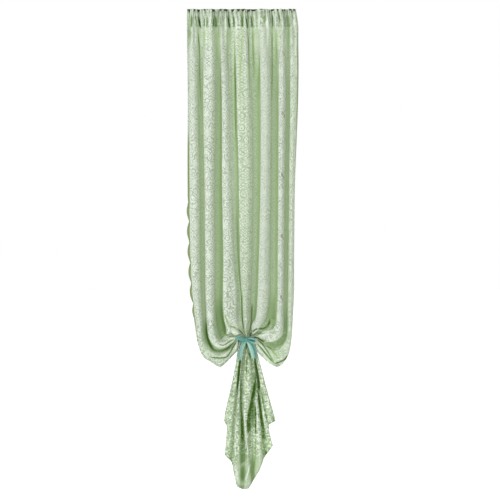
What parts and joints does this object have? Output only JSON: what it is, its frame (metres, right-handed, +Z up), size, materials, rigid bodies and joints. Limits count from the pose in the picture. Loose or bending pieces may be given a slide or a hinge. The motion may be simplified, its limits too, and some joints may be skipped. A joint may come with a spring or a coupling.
{
  "type": "lace curtain panel tied with a ribbon",
  "caption": "Sheer lace curtain panel with a gathered rod-pocket heading, hanging in deep folds and drawn in low down by a ribbon bow above a folded tail.",
  "frame": {"origin": "middle of the top edge of the heading, on the curtain's middle plane", "axes": "+X to the viewer's right along the rod, -Y towards the viewer, +Z up"},
  "size_m": [0.466, 0.0756, 2.006],
  "materials": {
    "lace": "matte",
    "ribbon": "satin"
  },
  "bodies": {
    "root": {"heading": "lace", "panel": "lace", "tie": "ribbon"}
  },
  "joints": []
}
